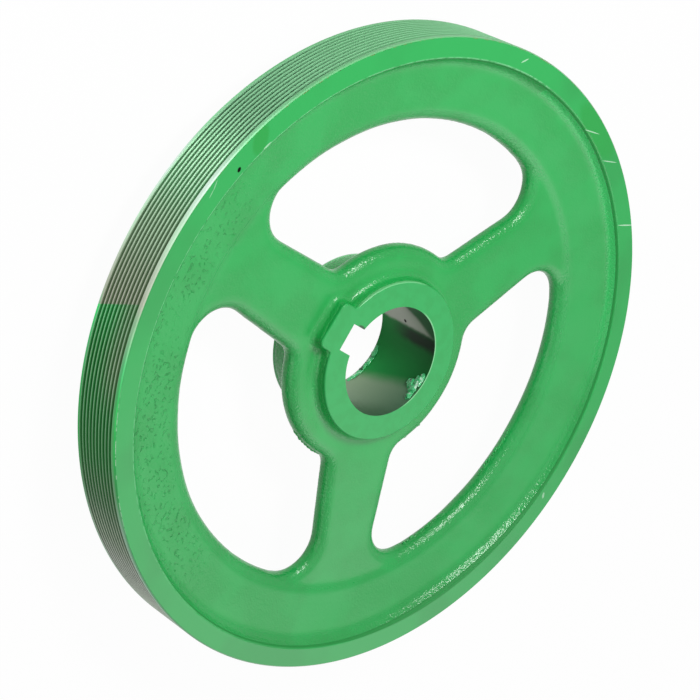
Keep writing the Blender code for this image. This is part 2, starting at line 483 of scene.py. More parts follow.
@dataclass
class Finish:
    """A node material under construction, with the measures that its patterns follow."""

    name: str
    material: Material = field(init=False)
    tree: NodeTree = field(init=False)
    add: Callable[..., NodeSocket] = field(init=False)
    place: NodeSocket = field(init=False)
    height: NodeSocket = field(init=False)
    radius: NodeSocket = field(init=False)
    azimuth: NodeSocket = field(init=False)
    facing: NodeSocket = field(init=False)

    def __post_init__(self) -> None:
        """Start the material and measure height, radius, azimuth and how level the surface lies."""
        self.material = bpy.data.materials.new(self.name)
        self.material.use_nodes = True
        self.tree = self.material.node_tree
        self.add = partial(add_node, self.tree)
        self.place = self.add("TexCoord", {}, {}, "Object")
        parts = self.add("SeparateXYZ", {}, {0: self.place}).node.outputs
        self.height = parts["Z"]
        flat = self.add("CombineXYZ", {}, {0: parts["X"], 1: parts["Y"]})
        self.radius = self.add("VectorMath", {"operation": "LENGTH"}, {0: flat}, "Value")
        turn = self.add("Math", {"operation": "ARCTAN2"}, {0: parts["Y"], 1: parts["X"]})
        self.azimuth = self.add("Math", {"operation": "DEGREES"}, {0: turn})
        outward = self.add("NewGeometry", {}, {}, "Normal")
        upright = self.add("SeparateXYZ", {}, {0: outward}, "Z")
        self.facing = self.add("Math", ABSOLUTE, {0: upright})

    def where(self, how: dict[str, str], *parts: object) -> NodeSocket:
        """Join masks and shares as ALL or ANY of them."""
        return joined(self.tree, how, *parts)

    def within(self, measure: NodeSocket, stretch: Band) -> NodeSocket:
        """Mask the stretch of a measure's range that lies inside a band.

        Args:
            measure: The socket that is measured.
            stretch: The band.

        Returns:
            A mask that is one inside the band.
        """
        ends = []
        if stretch.low is not None:
            ends.append((stretch.low - stretch.soft, stretch.low + stretch.soft))
        if stretch.high is not None:
            ends.append((stretch.high + stretch.soft, stretch.high - stretch.soft))
        edges = [
            self.add("MapRange", SMOOTH, {"Value": measure, "From Min": outside, "From Max": inside})
            for outside, inside in ends
        ]
        return self.where(ALL, *edges)

    def patched(self, patch: Patch) -> NodeSocket:
        """Mask a patch between its radii and azimuths.

        Args:
            patch: The patch.

        Returns:
            A mask that reaches the patch's strength inside it.
        """
        radii, azimuths = self.within(self.radius, patch.radii), self.within(self.azimuth, patch.azimuths)
        return self.where(ALL, radii, azimuths, patch.strength)

    def marked(self, marks: Sequence[Mark]) -> NodeSocket:
        """Mask a set of marks, drawn as tapered ellipses on object coordinates.

        Args:
            marks: The marks.

        Returns:
            A mask that reaches each mark's strength at its middle.
        """
        edges = []
        for mark in marks:
            local = self.add(
                "Mapping", {"vector_type": "TEXTURE"},
                {
                    "Vector": self.place, "Location": (mark.x * MM, mark.y * MM, mark.z * MM),
                    "Rotation": (0.0, 0.0, math.radians(mark.turn)),
                    "Scale": (mark.half_length * MM, mark.half_width * MM, mark.half_length * MM),
                },
            )
            spot = self.add("TexGradient", {"gradient_type": "SPHERICAL"}, {"Vector": local}, "Fac")
            edges.append(self.add("MapRange", SMOOTH, {"Value": spot, "From Max": MARK_FADE, "To Max": mark.strength}))
        return self.where(ANY, *edges)

    def coats(self, ground: object, *layers: tuple[object, object]) -> NodeSocket:
        """Lay coats of colour over one another.

        Args:
            ground: The lowest colour, a socket or a hex code.
            layers: Mask and colour of each coat, from the lowest up.

        Returns:
            The colour that shows.
        """
        colour = to_linear(ground) if isinstance(ground, str) else ground
        for mask, over in layers:
            shown = to_linear(over) if isinstance(over, str) else over
            colour = self.add("Mix", {"data_type": "RGBA"}, {0: mask, 6: colour, 7: shown}, 2)
        return colour

    def colours_round(self, stops: Sequence[Stop]) -> NodeSocket:
        """Change a coat's colour round the axis, through stops in order of azimuth.

        Args:
            stops: The colours in order of azimuth.

        Returns:
            The colour at each azimuth.
        """
        layers = []
        for before, after in zip(stops, stops[1:]):
            middle, half = (before.azimuth + after.azimuth) / 2, (after.azimuth - before.azimuth) / 2
            layers.append((self.within(self.azimuth, Band(middle, None, half)), after.colour))
        return self.coats(stops[0].colour, *layers)

    def wired(self, inputs: dict[str, object]) -> Material:
        """Set or link the shader's inputs by name, and return the finished material.

        Args:
            inputs: Sockets or plain values by the input's name.

        Returns:
            The finished material.
        """
        for name, value in inputs.items():
            socket = self.tree.nodes["Principled BSDF"].inputs[name]
            if isinstance(value, NodeSocket):
                self.tree.links.new(value, socket)
            else:
                socket.default_value = value
        return self.material


@dataclass(frozen=True)
class CastEnamel:
    """Gloss enamel brushed over as-cast iron.

    The sand mould leaves a fine pebbled skin. The enamel levels it on the flats and stays rough on the round edges, so
    their highlights break up into small points. The roughest stretch of the ring kept scattered dents, and the dents
    are also coloured darker, a painted shade in the hollows. A lighter green on the recess wall past an azimuth of
    about 112 degrees is painted light. Sand grain is finer than the render can show, so it is drawn as coarse as it
    needs to show.
    """

    name: str = "gloss enamel on cast iron"
    green: str = "#1BAC50"
    pool: str = "#18A349"
    # Painted shade: the dents are coloured darker as well as sunk.
    dent: str = "#0E8A3C"
    # Painted light: a lighter green on the recess wall past an azimuth of about 112 degrees.
    full: str = "#1FBC5B"
    chip: str = "#CFEBD2"
    roughness: float = 0.34
    edge_roughness: float = 0.23
    grain: float = 0.9 * MM
    pebble: float = 1.9 * MM
    cloud: float = 26.0 * MM
    grain_relief: float = 0.50 * MM
    pebble_relief: float = 0.60 * MM
    dent_relief: float = 0.30 * MM
    flat_share: float = 0.06
    pool_share: float = 0.15
    edge_share: float = 0.38
    ring_share: float = 0.17
    dent_shade_share: float = 0.42
    round_edges: Band = Band(None, 0.955, 0.035)
    pools: Band = Band(0.50, None, 0.12)
    dents: Band = Band(None, 0.38, 0.04)
    rough_clouds: Band = Band(0.40, None, 0.16)
    rough_ring: Patch = Patch(Band(114.0 * MM, None, 5.0 * MM), Band(-102.0, -20.0, 9.0), 0.85)
    # Where the painted light lies on the recess wall.
    painted_light_wall: Patch = Patch(Band(133.4 * MM, None, 0.8 * MM), Band(112.0, None, 14.0))
    chips: tuple[Mark, ...] = (
        Mark(-49.6, 89.1, 30.6, 1.5, 0.5, 60.0, 0.9),
        Mark(-51.4, 91.8, 30.6, 1.1, 0.4, 20.0, 0.8),
        Mark(80.9, 12.7, 29.0, 1.2, 0.5, 20.0, 0.7),
    )

    def material(self) -> Material:
        """Build the material.

        Returns:
            The node material.
        """
        finish = Finish(self.name)
        add, where, within = finish.add, finish.where, finish.within
        pebble, grain, cloud = (
            add("TexNoise", {}, {"Vector": finish.place, "Scale": 1.0 / size, "Detail": detail})
            for size, detail in ((self.pebble, 3.0), (self.grain, 1.0), (self.cloud, 3.0))
        )
        round_edge = within(finish.facing, self.round_edges)
        rough_ring = where(ALL, finish.patched(self.rough_ring), within(cloud, self.rough_clouds))
        pooled = within(cloud, self.pools)
        dents = where(ALL, within(pebble, self.dents), rough_ring)
        gritty = where(
            ANY, add("MapRange", {}, {"Value": pooled, "To Min": self.flat_share, "To Max": self.pool_share}),
            where(ALL, round_edge, self.edge_share), where(ALL, rough_ring, self.ring_share),
        )
        # The dents get painted shade, and the recess wall past 112 degrees gets painted light.
        colour = finish.coats(
            self.green, (pooled, self.pool), (where(ALL, dents, self.dent_shade_share), self.dent),
            (finish.patched(self.painted_light_wall), self.full), (finish.marked(self.chips), self.chip),
        )
        normal = add("Bump", {}, {"Distance": self.pebble_relief, "Height": where(ALL, pebble, gritty)})
        relief = {"Distance": self.grain_relief, "Height": where(ALL, grain, gritty), "Normal": normal}
        normal = add("Bump", {}, relief)
        normal = add("Bump", {"invert": True}, {"Distance": self.dent_relief, "Height": dents, "Normal": normal})
        gloss = add("MapRange", {}, {"Value": round_edge, "To Min": self.roughness, "To Max": self.edge_roughness})
        return finish.wired({"Base Color": colour, "Roughness": gloss, "Normal": normal})


@dataclass(frozen=True)
class WallCoatWithPaintedLight:
    """One coat's colours round the groove wall: on the crests, in the grooves and on the strips. Besides the paint,
    the stops carry painted light: painted reflection and painted shade that change with azimuth.
    """

    crests: tuple[Stop, ...]
    grooves: tuple[Stop, ...]
    strips: tuple[Stop, ...]

    def colour(self, finish: Finish, on_groove: NodeSocket, on_strip: NodeSocket) -> NodeSocket:
        """Mix the coat's colour from its three parts.

        Args:
            finish: The material under construction.
            on_groove: One on the groove flanks and roots.
            on_strip: One on the plain strips.

        Returns:
            The coat's colour.
        """
        crests, grooves, strips = map(finish.colours_round, (self.crests, self.grooves, self.strips))
        return finish.coats(crests, (on_groove, grooves), (on_strip, strips))


# Misted coat: the near-white strips and pale crests around an azimuth of -100 degrees are a painted reflection of a
# lamp.
MISTED_COAT_AND_PAINTED_LIGHT = WallCoatWithPaintedLight(
    crests=(
        Stop(-170, "#86C694"), Stop(-140, "#86C895"), Stop(-124, "#84C292"), Stop(-110, "#90C49C"),
        Stop(-100, "#B4E0BC"), Stop(-91, "#B6D6B6"), Stop(-82, "#AEBAA4"), Stop(-77, "#AEB0A0"),
    ),
    grooves=(
        Stop(-170, "#62A072"), Stop(-140, "#5E9E6E"), Stop(-118, "#6AA67A"), Stop(-100, "#7CB086"),
        Stop(-88, "#7F9A7A"), Stop(-77, "#76886A"),
    ),
    strips=(
        Stop(-170, "#7FBA8A"), Stop(-140, "#76BE85"), Stop(-124, "#79C98B"), Stop(-110, "#9CEBB0"),
        Stop(-100, "#E2FDEC"), Stop(-91, "#CDF5D2"), Stop(-82, "#C4D2BC"), Stop(-79, "#BAC4AE"),
        Stop(-75.5, "#93C498"), Stop(-68, "#5CBC78"),
    ),
)
# Full coat: the darker grooves, crests and strips from about -60 to -46 degrees are painted shade.
FULL_COAT_AND_PAINTED_LIGHT = WallCoatWithPaintedLight(
    crests=(
        Stop(-77, "#7CD492"), Stop(-68, "#76B880"), Stop(-60, "#68A874"), Stop(-52, "#5E9C68"),
        Stop(-44, "#729272"), Stop(-36, "#9AA892"), Stop(-28, "#B0B8AC"), Stop(30, "#7FBA8A"),
    ),
    grooves=(
        Stop(-77, "#1E9A48"), Stop(-66, "#0E7C30"), Stop(-54, "#087026"), Stop(-46, "#1A6428"),
        Stop(-38, "#3A6040"), Stop(-28, "#606C5E"), Stop(30, "#4F8560"),
    ),
    strips=(
        Stop(-76, "#38F07A"), Stop(-69, "#4CC474"), Stop(-62, "#2CB455"), Stop(-54, "#1CAA48"),
        Stop(-47, "#2C9248"), Stop(-38, "#66A078"), Stop(30, "#7FBA8A"),
    ),
)


@dataclass(frozen=True)
class RimEnamel:
    """Gloss enamel over the lathe-turned rim, thin on most of the groove wall, where its brightness is partly a
    painted reflection.

    On the lands the film is smooth and full. Round the outside it was only misted on, so the pale turned iron shows
    through it on strips and crests, and the groove flanks are coloured darker. The wall's colours also change round
    the axis to carry painted light: a painted reflection makes strips and crests near-white around an azimuth of -100
    degrees, and painted shade darkens the full coat around -50 degrees. One stretch of the wall got the full coat,
    with a sharp masked edge, and further round the coat runs out over oily iron. Turned corners show worn rust specks
    and pale nicks; the pale spots along the land's inner edge are nicks and a painted highlight, and the short turned
    wall under that edge carries painted shade.
    """

    name: str = "gloss enamel on turned iron"
    # Both coats carry painted light in their colours round the axis: painted reflection and painted shade.
    misted: WallCoatWithPaintedLight = MISTED_COAT_AND_PAINTED_LIGHT
    full: WallCoatWithPaintedLight = FULL_COAT_AND_PAINTED_LIGHT
    green: str = "#1BAC50"
    shade: str = "#169A45"
    pool: str = "#06A03C"
    # Painted shade: a darker green on the short turned wall under the land's inner edge.
    painted_shade_green: str = "#0C8C3A"
    rust: str = "#8A5230"
    chip: str = "#C8EFD0"
    # Pale nicks along the land's inner edge, which also carry a painted highlight of the burr there.
    nick: str = "#7BD694"
    speck: str = "#020A04"
    roughness: float = 0.32
    crevice_roughness: float = 0.6
    wall_roughness: float = 0.36
    misted_roughness: float = 0.52
    specular: float = 0.5
    misted_specular: float = 0.18
    speck_specular: float = 0.05
    film_shine: float = 0.08
    iron_shine: float = 0.72
    coat_shine: float = 0.45
    fine: float = 3.0 * MM
    broad: float = 40.0 * MM
    peel: float = 7.0 * MM
    peel_relief: float = 0.05 * MM
    wall_heights: Band = Band(11.95 * MM, 38.45 * MM, 0.05 * MM)
    wall_radii: Band = Band(141.0 * MM, None, 0.05 * MM)
    bare_arc: Band = Band(-107.5, None, 8.5)
    groove_radii: Band = Band(None, 145.78 * MM, 0.17 * MM)
    front_strip: Band = Band(36.3 * MM, None, 0.1 * MM)
    back_strip: Band = Band(None, 13.3 * MM, 0.1 * MM)
    masked_edge: Band = Band(-73.6, None, 0.12)
    masked_slant: float = 140.0
    strip_arc: Band = Band(None, -69.0, 1.5)
    rubbed_arc: Band = Band(None, -63.0, 5.0)
    rubbed_heights: Band = Band(27.0 * MM, None, 7.0 * MM)
    below_strip: Band = Band(None, 36.3 * MM, 0.1 * MM)
    rubbed_share: float = 0.55
    # Where the painted shade lies: the short turned wall under the land's inner edge.
    crevice: Band = Band(None, 136.5 * MM, 0.1 * MM)
    shades: Band = Band(0.55, None, 0.1)
    shade_share: float = 0.6
    corner: Band = Band(145.4 * MM, None, 0.3 * MM)
    rust_spots: Band = Band(0.56, None, 0.04)
    rust_arc: Band = Band(100.0, None, 25.0)
    rust_share: float = 0.8
    bright_spots: Band = Band(0.50, None, 0.04)
    bright_arc: Band = Band(-62.0, -40.0, 5.0)
    # Spots and stretch of the pale nicks and painted highlight along the land's inner edge.
    nick_and_highlight_spots: Band = Band(0.43, None, 0.08)
    edge_nicks_and_highlight: Patch = Patch(Band(None, 137.15 * MM, 0.25 * MM), Band(None, -20.0, 40.0), 0.65)
    scratches: tuple[Mark, ...] = (
        Mark(-108.3, 91.8, 38.6, 6.2, 0.36, -66.0, 0.8),
        Mark(-127.3, 59.2, 38.6, 5.6, 0.30, -71.0, 0.7),
        Mark(-133.1, 38.3, 38.6, 6.2, 0.30, -77.0, 0.7),
        Mark(-26.2, -141.4, 38.6, 2.6, 0.30, 12.0, 0.4),
        Mark(-22.6, -141.0, 38.6, 2.2, 0.26, 4.0, 0.4),
        Mark(-139.8, -22.5, 38.6, 2.6, 0.4, -41.0, 0.7),
        Mark(-50.2, -127.8, 38.6, 2.6, 0.45, -21.0, 0.6),
        Mark(19.9, 137.9, 38.6, 1.9, 0.8, 30.0, 0.55),
    )
    pools: tuple[Mark, ...] = (
        Mark(-51.0, -132.6, 38.6, 8.0, 4.4, 20.0),
        Mark(-134.6, 41.2, 38.6, 22.0, 7.0, 73.0, 0.9),
    )
    specks: tuple[Mark, ...] = (Mark(-36.3, -134.6, 38.6, 1.4, 0.95, 10.0),)

    def coated(self, finish: Finish) -> NodeSocket:
        """Mask the stretch of wall past the slanted masked edge, less the strip that stayed misted.

        Args:
            finish: The material under construction.

        Returns:
            One where the wall got the full coat.
        """
        slanted = finish.add("Math", SCALED_SUM, {0: finish.height, 1: self.masked_slant, 2: finish.azimuth})
        misted_strip = finish.where(
            ALL, finish.within(finish.height, self.front_strip), finish.within(finish.azimuth, self.strip_arc)
        )
        rest = finish.add("Math", {"operation": "SUBTRACT"}, {0: 1.0, 1: misted_strip})
        return finish.where(ALL, finish.within(slanted, self.masked_edge), rest)

    def wall_colour(self, finish: Finish, coated: NodeSocket) -> NodeSocket:
        """Mix the groove wall's colour from its two coats, the full one where the mask is one; both coats carry
        painted reflection and painted shade by azimuth.

        Args:
            finish: The material under construction.
            coated: One where the wall got the full coat.

        Returns:
            The wall's colour.
        """
        height, within = finish.height, finish.within
        on_groove = within(finish.radius, self.groove_radii)
        on_strip = finish.where(ANY, within(height, self.front_strip), within(height, self.back_strip))
        misted, full = (coat.colour(finish, on_groove, on_strip) for coat in (self.misted, self.full))
        rubbed = finish.where(
            ALL, within(finish.azimuth, self.rubbed_arc), within(height, self.rubbed_heights),
            within(height, self.below_strip), self.rubbed_share,
        )
        return finish.coats(misted, (coated, finish.coats(full, (rubbed, misted))))

    def land_colour(self, finish: Finish) -> NodeSocket:
        """Mix the lands' enamel with its marks, its worn corners and the recess edge's pale nicks, which are partly a
        painted highlight.

        Args:
            finish: The material under construction.

        Returns:
            The lands' colour.
        """
        where, within = finish.where, finish.within
        fine, broad = (
            finish.add("TexNoise", {}, {"Vector": finish.place, "Scale": 1.0 / size, "Detail": detail})
            for size, detail in ((self.fine, 4.0), (self.broad, 2.0))
        )
        corner = within(finish.radius, self.corner)
        from_front = finish.add("Math", ABSOLUTE, {0: finish.azimuth})
        rusty = where(ALL, corner, within(fine, self.rust_spots), within(from_front, self.rust_arc), self.rust_share)
        bright = where(ALL, corner, within(fine, self.bright_spots), within(finish.azimuth, self.bright_arc))
        # Pale nicks along the inner edge, partly a painted highlight.
        nicked = where(ALL, finish.patched(self.edge_nicks_and_highlight), within(fine, self.nick_and_highlight_spots))
        return finish.coats(
            self.green, (where(ALL, within(broad, self.shades), self.shade_share), self.shade),
            (finish.marked(self.pools), self.pool), (nicked, self.nick), (rusty, self.rust), (bright, self.chip),
            (finish.marked(self.scratches), self.chip), (finish.marked(self.specks), self.speck),
        )

    def material(self) -> Material:
        """Build the material.

        Returns:
            The node material.
        """
        finish = Finish(self.name)
        add, where, within = finish.add, finish.where, finish.within
        on_wall = where(ALL, within(finish.height, self.wall_heights), within(finish.radius, self.wall_radii))
        coated, crevice = self.coated(finish), within(finish.radius, self.crevice)
        # The short turned wall under the land's edge gets painted shade over the other colours.
        colour = finish.coats(
            self.land_colour(finish), (on_wall, self.wall_colour(finish, coated)), (crevice, self.painted_shade_green)
        )
        bare = within(finish.azimuth, self.bare_arc)
        misted_shine = add("Mix", {}, {0: bare, 2: self.film_shine, 3: self.iron_shine})
        shine = add("Mix", {}, {0: coated, 2: misted_shine, 3: self.coat_shine})
        wall_gloss = add("Mix", {}, {0: bare, 2: self.misted_roughness, 3: self.wall_roughness})
        gloss = where(
            ANY, add("Mix", {}, {0: on_wall, 2: self.roughness, 3: wall_gloss}),
            where(ALL, crevice, self.crevice_roughness),
        )
        wall_specular = add("Mix", {}, {0: bare, 2: self.misted_specular, 3: self.specular})
        specular = add("Mix", {}, {0: on_wall, 2: self.specular, 3: wall_specular})
        specular = add("Mix", {}, {0: finish.marked(self.specks), 2: specular, 3: self.speck_specular})
        peel = add("TexNoise", {}, {"Vector": finish.place, "Scale": 1.0 / self.peel, "Detail": 2.0})
        normal = add("Bump", {}, {"Distance": self.peel_relief, "Height": peel})
        return finish.wired(
            {
                "Base Color": colour, "Roughness": gloss, "Normal": normal, "Specular IOR Level": specular,
                "Metallic": where(ALL, on_wall, shine),
            }
        )


@dataclass(frozen=True)
class HubEnamel:
    """Gloss enamel on the hub's faced ends.

    The faces were turned flat, so the film lies level with only a slight orange peel. A pale painted highlight runs
    along part of the bore's edge and of the boss's edge, and a dark painted shade at the keyway's front corner stands
    for the keyway wall's shade.
    """

    name: str = "gloss enamel on the faced hub"
    green: str = "#22AE57"
    shade: str = "#1AA24B"
    # Painted highlight: the pale colour along the bore's edge and the boss's edge.
    thin: str = "#8ADA9C"
    # Painted shade: the dark mark at the keyway's front corner stands for the keyway wall's shade.
    painted_keyway_shade: str = "#1C160C"
    roughness: float = 0.36
    peel: float = 6.0 * MM
    peel_relief: float = 0.06 * MM
    shades: Band = Band(0.52, None, 0.1)
    shade_share: float = 0.5
    bore_edge_highlight: Patch = Patch(Band(None, 26.0 * MM, 0.1 * MM), Band(58.0, 170.0, 8.0), 0.85)
    boss_edge_highlight: Patch = Patch(Band(36.4 * MM, None, 0.1 * MM), Band(-172.0, -114.0, 5.0), 0.7)
    painted_keyway_shades: tuple[Mark, ...] = (Mark(-6.6, -26.4, 35.4, 2.9, 1.0, 88.0, 0.8),)

    def material(self) -> Material:
        """Build the material.

        Returns:
            The node material.
        """
        finish = Finish(self.name)
        peel = finish.add("TexNoise", {}, {"Vector": finish.place, "Scale": 1.0 / self.peel, "Detail": 3.0})
        shaded_spots = finish.where(ALL, finish.within(peel, self.shades), self.shade_share)
        colour = finish.coats(
            self.green, (shaded_spots, self.shade), (finish.patched(self.bore_edge_highlight), self.thin),
            (finish.patched(self.boss_edge_highlight), self.thin), (finish.marked(self.painted_keyway_shades), self.painted_keyway_shade),
        )
        normal = finish.add("Bump", {}, {"Distance": self.peel_relief, "Height": peel})
        return finish.wired({"Base Color": colour, "Roughness": self.roughness, "Normal": normal})


@dataclass(frozen=True)
class BoreFinish:
    """Reamed iron, half of it under runs of enamel.

    The brush only wetted part of the bore, so a dark green band lies between two stretches of oily iron. The paint is
    thick and nearly black where it ran, and that run also stands in for a dark reflection along the bore. Iron and
    paint are both coloured darker towards the front end and lighter towards the rear end. The slopes are in degrees of
    azimuth for each metre of height.
    """

    name: str = "reamed iron with enamel runs"
    iron_high: str = "#587C60"
    iron_low: str = "#8FA488"
    bare_far: str = "#A4A79D"
    green_high: str = "#08682A"
    green_low: str = "#1C9A48"
    # The near-black run also stands in for a dark reflection along the bore.
    run: str = "#021004"
    overspray: str = "#125C30"
    pit: str = "#14140F"
    iron_shine: float = 0.5
    roughness: float = 0.42
    specular: float = 0.15
    top: float = 34.0 * MM
    wander: float = 7.0 * MM
    wander_turn: float = 5.0
    relief: float = 0.08 * MM
    bare_arc: Band = Band(110.0, None, 10.0)
    paint_slope: float = -555.0
    paint_start: Band = Band(65.0, None, 9.0)
    paint_stop: Band = Band(None, 136.0, 2.5)
    run_and_dark_reflection_arc: Band = Band(121.0, 135.5, 4.5)
    run_heights: Band = Band(13.0 * MM, None, 9.0 * MM)
    spray_slope: float = 2300.0
    spray_start: Band = Band(213.0, None, 6.0)
    spray_arc: Band = Band(136.0, None, 3.0)
    cover: float = 0.9
    pits: tuple[Mark, ...] = (Mark(-19.0, 16.8, 16.2, 1.0, 1.0),)

    def material(self) -> Material:
        """Build the material.

        Returns:
            The node material.
        """
        finish = Finish(self.name)
        add, where, within, height = finish.add, finish.where, finish.within, finish.height
        cloud = add("TexNoise", {}, {"Vector": finish.place, "Scale": 1.0 / self.wander, "Detail": 3.0})
        round_bore = add("Math", SCALED_SUM, {0: cloud, 1: self.wander_turn, 2: finish.azimuth})
        painted_side = add("Math", SCALED_SUM, {0: height, 1: self.paint_slope, 2: round_bore})
        sprayed_side = add("Math", SCALED_SUM, {0: height, 1: self.spray_slope, 2: round_bore})
        # Iron and paint are coloured darker towards the front end and lighter towards the rear end.
        up = add("MapRange", {}, {"Value": height, "From Max": self.top})
        iron = finish.coats(self.iron_low, (up, self.iron_high), (within(round_bore, self.bare_arc), self.bare_far))
        enamel = finish.coats(self.green_low, (up, self.green_high))
        painted = where(ALL, within(painted_side, self.paint_start), within(round_bore, self.paint_stop))
        # Near-black run, partly a painted dark reflection.
        ran = where(ALL, within(round_bore, self.run_and_dark_reflection_arc), within(height, self.run_heights), self.cover)
        sprayed = where(
            ALL, within(sprayed_side, self.spray_start), within(round_bore, self.spray_arc), self.cover
        )
        colour = finish.coats(
            iron, (painted, enamel), (ran, self.run), (sprayed, self.overspray), (finish.marked(self.pits), self.pit)
        )
        covered = where(ANY, painted, sprayed)
        shine = add("MapRange", {}, {"Value": covered, "To Min": self.iron_shine, "To Max": 0.0})
        normal = add("Bump", {}, {"Distance": self.relief, "Height": cloud})
        return finish.wired(
            {
                "Base Color": colour, "Roughness": self.roughness, "Normal": normal, "Metallic": shine,
                "Specular IOR Level": self.specular,
            }
        )


@dataclass(frozen=True)
class PaintSkin:
    """Thick gloss enamel over torn metal: lumps and burrs.

    The ridges of the folds are coloured pale, a painted highlight, and the creases dark, a painted shade, so small
    hard highlights stand beside dark creases.
    """

    name: str = "thick gloss enamel on burrs"
    green: str = "#4CCB80"
    # Painted highlight on the ridges and painted shade in the creases.
    ridge_highlight: str = "#C6F4D5"
    crease_shade: str = "#0A5528"
    roughness: float = 0.14
    fold: float = 2.6 * MM
    fold_relief: float = 0.35 * MM
    creases: Band = Band(None, 0.37, 0.05)
    ridges: Band = Band(0.60, None, 0.05)

    def material(self) -> Material:
        """Build the material.

        Returns:
            The node material.
        """
        finish = Finish(self.name)
        fold = finish.add("TexNoise", {}, {"Vector": finish.place, "Scale": 1.0 / self.fold, "Detail": 2.0})
        colour = finish.coats(
            self.green, (finish.within(fold, self.creases), self.crease_shade),
            (finish.within(fold, self.ridges), self.ridge_highlight),
        )
        normal = finish.add("Bump", {}, {"Distance": self.fold_relief, "Height": fold})
        return finish.wired({"Base Color": colour, "Roughness": self.roughness, "Normal": normal})


@dataclass
class TurnedRim:
    """The machined rim: ten V grooves, plain strips beside them and a land on each face.

    The eased corner of a crest lists how deep and how far from the groove's mouth each of its
    points lies, as shares of the corner's rounding.
    """

    sizes: PulleySizes
    facets: int = 432
    groove_count: int = 10
    pitch: float = 2.3 * MM
    front_strip: float = 2.3 * MM
    half_angle: float = math.radians(20.0)
    root_width: float = 0.4 * MM
    crest_width: float = 0.44 * MM
    corner_round: float = 0.09 * MM
    corner_shape: tuple[Point, ...] = ((0.0, 1.0), (0.3, 0.3), (1.2, -0.44))
    edge_chamfer: float = 0.6 * MM
    land_edge_round: float = 0.40 * MM
    land_edge_middle: float = 0.25
    wall_step: float = 0.06 * MM
    seat_radius: float = 138.2 * MM
    seat_drop: float = 0.4 * MM
    sharp_angle: float = math.radians(28.0)

    def groove_profile(self) -> list[Point]:
        """List radius and height of the grooves' section, from the front strip to the rear one.

        Returns:
            The points, with the crests' corners eased.
        """
        rim, ease = self.sizes.rim_radius, self.corner_round
        half_mouth = (self.pitch - self.crest_width) / 2
        half_root = self.root_width / 2
        root = rim - (half_mouth - half_root) / math.tan(self.half_angle)
        points: list[Point] = []
        for groove in range(self.groove_count):
            middle = self.sizes.rim_front - self.front_strip - self.pitch * (groove + 0.5)
            for way in (1.0, -1.0):
                lip = [
                    (rim - ease * deep, middle + way * (half_mouth + ease * out)) for deep, out in self.corner_shape
                ]
                lip.append((root, middle + way * half_root))
                points += lip if way > 0 else lip[::-1]
        return points

    def land_edge(self, side: Side) -> list[Point]:
        """List one land's inner edge and the short turned wall below it.

        Args:
            side: The face of the casting.

        Returns:
            Radius and height of each point, from the land inwards and down.
        """
        face = self.sizes.rim_front if side is Side.FRONT else self.sizes.rim_back
        way, inner, deep = -side.value, self.sizes.land_inner, self.sizes.seam_depth
        ease, middle = self.land_edge_round, self.land_edge_round * self.land_edge_middle
        slope = math.tan(self.sizes.wall_draft)
        return [
            (inner + ease, face),
            (inner + middle, face + way * middle),
            (inner - ease * slope - self.wall_step / 2, face + way * ease),
            (inner - deep * slope - self.wall_step, face + way * deep),
            (self.seat_radius, face + way * (deep + self.seat_drop)),
        ]

    def build(self) -> Object:
        """Spin the rim's section round the axis.

        Returns:
            The rim.
        """
        rim, front, back = self.sizes.rim_radius, self.sizes.rim_front, self.sizes.rim_back
        chamfer = self.edge_chamfer
        section = [(rim - chamfer, front), (rim, front - chamfer), *self.groove_profile()]
        section += [(rim, back + chamfer), (rim - chamfer, back)]
        section += self.land_edge(Side.BACK) + self.land_edge(Side.FRONT)[::-1]
        body = spun(section, self.facets)
        self.sizes.drift_recess(body)
        return keep_planes_flat(as_object("turned_rim", body, self.sharp_angle))

    def dress(self, piece: Object) -> None:
        """Give the rim its enamel."""
        piece.data.materials.append(RimEnamel().material())


@dataclass(frozen=True)
class BossOutline:
    """The outline of the boss face, with the lug that stands out over the keyway."""

    sizes: PulleySizes
    lug_corner: float = 3.2 * MM
    far_fillet: float = 3.2 * MM
    near_fillet: float = 1.4 * MM

    def lug_side(self, way: float, fillet: float) -> list[Point]:
        """List one side of a lug that points along +X, from the boss to the lug's end.

        Args:
            way: One for the left side, minus one for the right side.
            fillet: Radius of the inner corner between boss and lug.

        Returns:
            The points.
        """
        half, corner = self.sizes.lug_width / 2, self.lug_corner
        across = half + fillet
        along = math.sqrt((self.sizes.boss_radius + fillet) ** 2 - across ** 2)
        start = math.atan2(-across, -along)
        tip = (self.sizes.lug_reach - corner, half - corner)
        points = arc((along, across), (fillet, fillet), start, -math.pi / 2 - start, steps=6)
        points += arc(tip, (corner, corner), math.pi / 2, -math.pi / 2, steps=6)
        return [(x, y * way) for x, y in points]

    def points(self) -> list[Point]:
        """List the closed outline anticlockwise, turned to the lug's azimuth.

        Returns:
            The points.
        """
        left, right = self.lug_side(1.0, self.near_fillet), self.lug_side(-1.0, self.far_fillet)
        radius = self.sizes.boss_radius
        start = math.atan2(left[0][1], left[0][0])
        sweep = (math.atan2(right[0][1], right[0][0]) - start) % math.tau
        round_boss = arc((0.0, 0.0), (radius, radius), start, sweep, steps=150)[1:-1]
        return turned(left[::-1] + round_boss + right, self.sizes.lug_azimuth)


@dataclass(frozen=True)
class Arm:
    """One arm of the web: its azimuth, and its widths at the hub disc and at the ring."""

    azimuth: float
    disc_width: float
    ring_width: float


